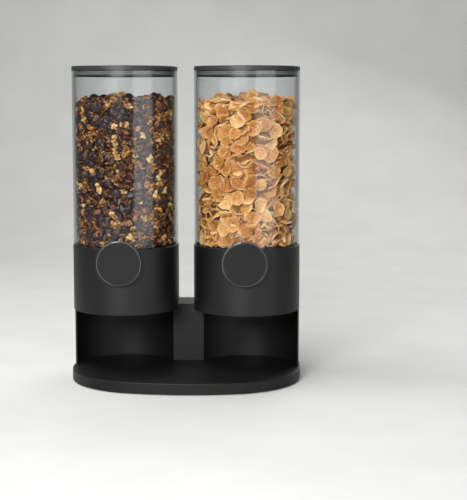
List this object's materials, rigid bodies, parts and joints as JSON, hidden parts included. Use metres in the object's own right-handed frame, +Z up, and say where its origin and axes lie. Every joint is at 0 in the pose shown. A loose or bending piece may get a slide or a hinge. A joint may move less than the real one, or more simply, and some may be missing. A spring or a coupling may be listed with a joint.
{
  "type": "cereal dispenser",
  "caption": "Twin countertop cereal dispenser: clear round containers with lids in black housings on a stand, with a round knob on each housing that turns a vaned rotor above a bowl space.",
  "frame": {"origin": "on the surface that the feet stand on, below the middle of the base", "axes": "+Z up, the knobs and the bowed front of the base face -Y, +X is to the viewer's right; the containers' axes stand in the plane y = 0.013 m"},
  "size_m": [0.285, 0.1959, 0.388],
  "materials": {
    "black_abs": "fine-textured matt moulding",
    "lid_abs": "satin moulding",
    "knob_abs": "satin moulding",
    "clear_plastic": "clear gloss",
    "grey_polypropylene": "satin moulding",
    "acetal": "turned satin",
    "silicone": "matt silicone",
    "foot_rubber": "matt rubber",
    "screw_steel": "zinc plated",
    "shaft_steel": "ground"
  },
  "bodies": {
    "stand": {"base_top": "black_abs", "base_bottom": "black_abs", "rubber_feet": "foot_rubber", "base_screws": "screw_steel", "column": "black_abs", "column_screws": "screw_steel", "left_housing": "black_abs", "left_hopper": "grey_polypropylene", "left_outlet": "grey_polypropylene", "left_ledge_screws": "screw_steel", "left_outlet_screws": "screw_steel", "left_front_bushing": "acetal", "left_rear_bushing": "acetal", "right_housing": "black_abs", "right_hopper": "grey_polypropylene", "right_outlet": "grey_polypropylene", "right_ledge_screws": "screw_steel", "right_outlet_screws": "screw_steel", "right_front_bushing": "acetal", "right_rear_bushing": "acetal"},
    "left_container": {"left_container": "clear_plastic"},
    "left_lid": {"left_lid": "lid_abs", "left_lid_gasket": "silicone"},
    "left_rotor": {"left_shaft": "shaft_steel", "left_shaft_ring": "screw_steel", "left_rotor_hub": "acetal", "left_rotor_vanes": "silicone", "left_knob": "knob_abs", "left_knob_cap": "knob_abs", "left_knob_screw": "screw_steel"},
    "right_container": {"right_container": "clear_plastic"},
    "right_lid": {"right_lid": "lid_abs", "right_lid_gasket": "silicone"},
    "right_rotor": {"right_shaft": "shaft_steel", "right_shaft_ring": "screw_steel", "right_rotor_hub": "acetal", "right_rotor_vanes": "silicone", "right_knob": "knob_abs", "right_knob_cap": "knob_abs", "right_knob_screw": "screw_steel"}
  },
  "joints": [
    {"name": "left_container_lift", "type": "slide", "parent": "stand", "child": "left_container", "axis": [0, 0, 1], "range_m": [0, 0.12]},
    {"name": "left_lid_lift", "type": "slide", "parent": "left_container", "child": "left_lid", "axis": [0, 0, 1], "range_m": [0, 0.1]},
    {"name": "left_knob_turn", "type": "hinge", "parent": "stand", "child": "left_rotor", "pos_m": [-0.0755, 0.01298, 0.1524], "axis": [0, -1, 0], "continuous": true},
    {"name": "right_container_lift", "type": "slide", "parent": "stand", "child": "right_container", "axis": [0, 0, 1], "range_m": [0, 0.12]},
    {"name": "right_lid_lift", "type": "slide", "parent": "right_container", "child": "right_lid", "axis": [0, 0, 1], "range_m": [0, 0.1]},
    {"name": "right_knob_turn", "type": "hinge", "parent": "stand", "child": "right_rotor", "pos_m": [0.0755, 0.01298, 0.1524], "axis": [0, -1, 0], "continuous": true}
  ]
}
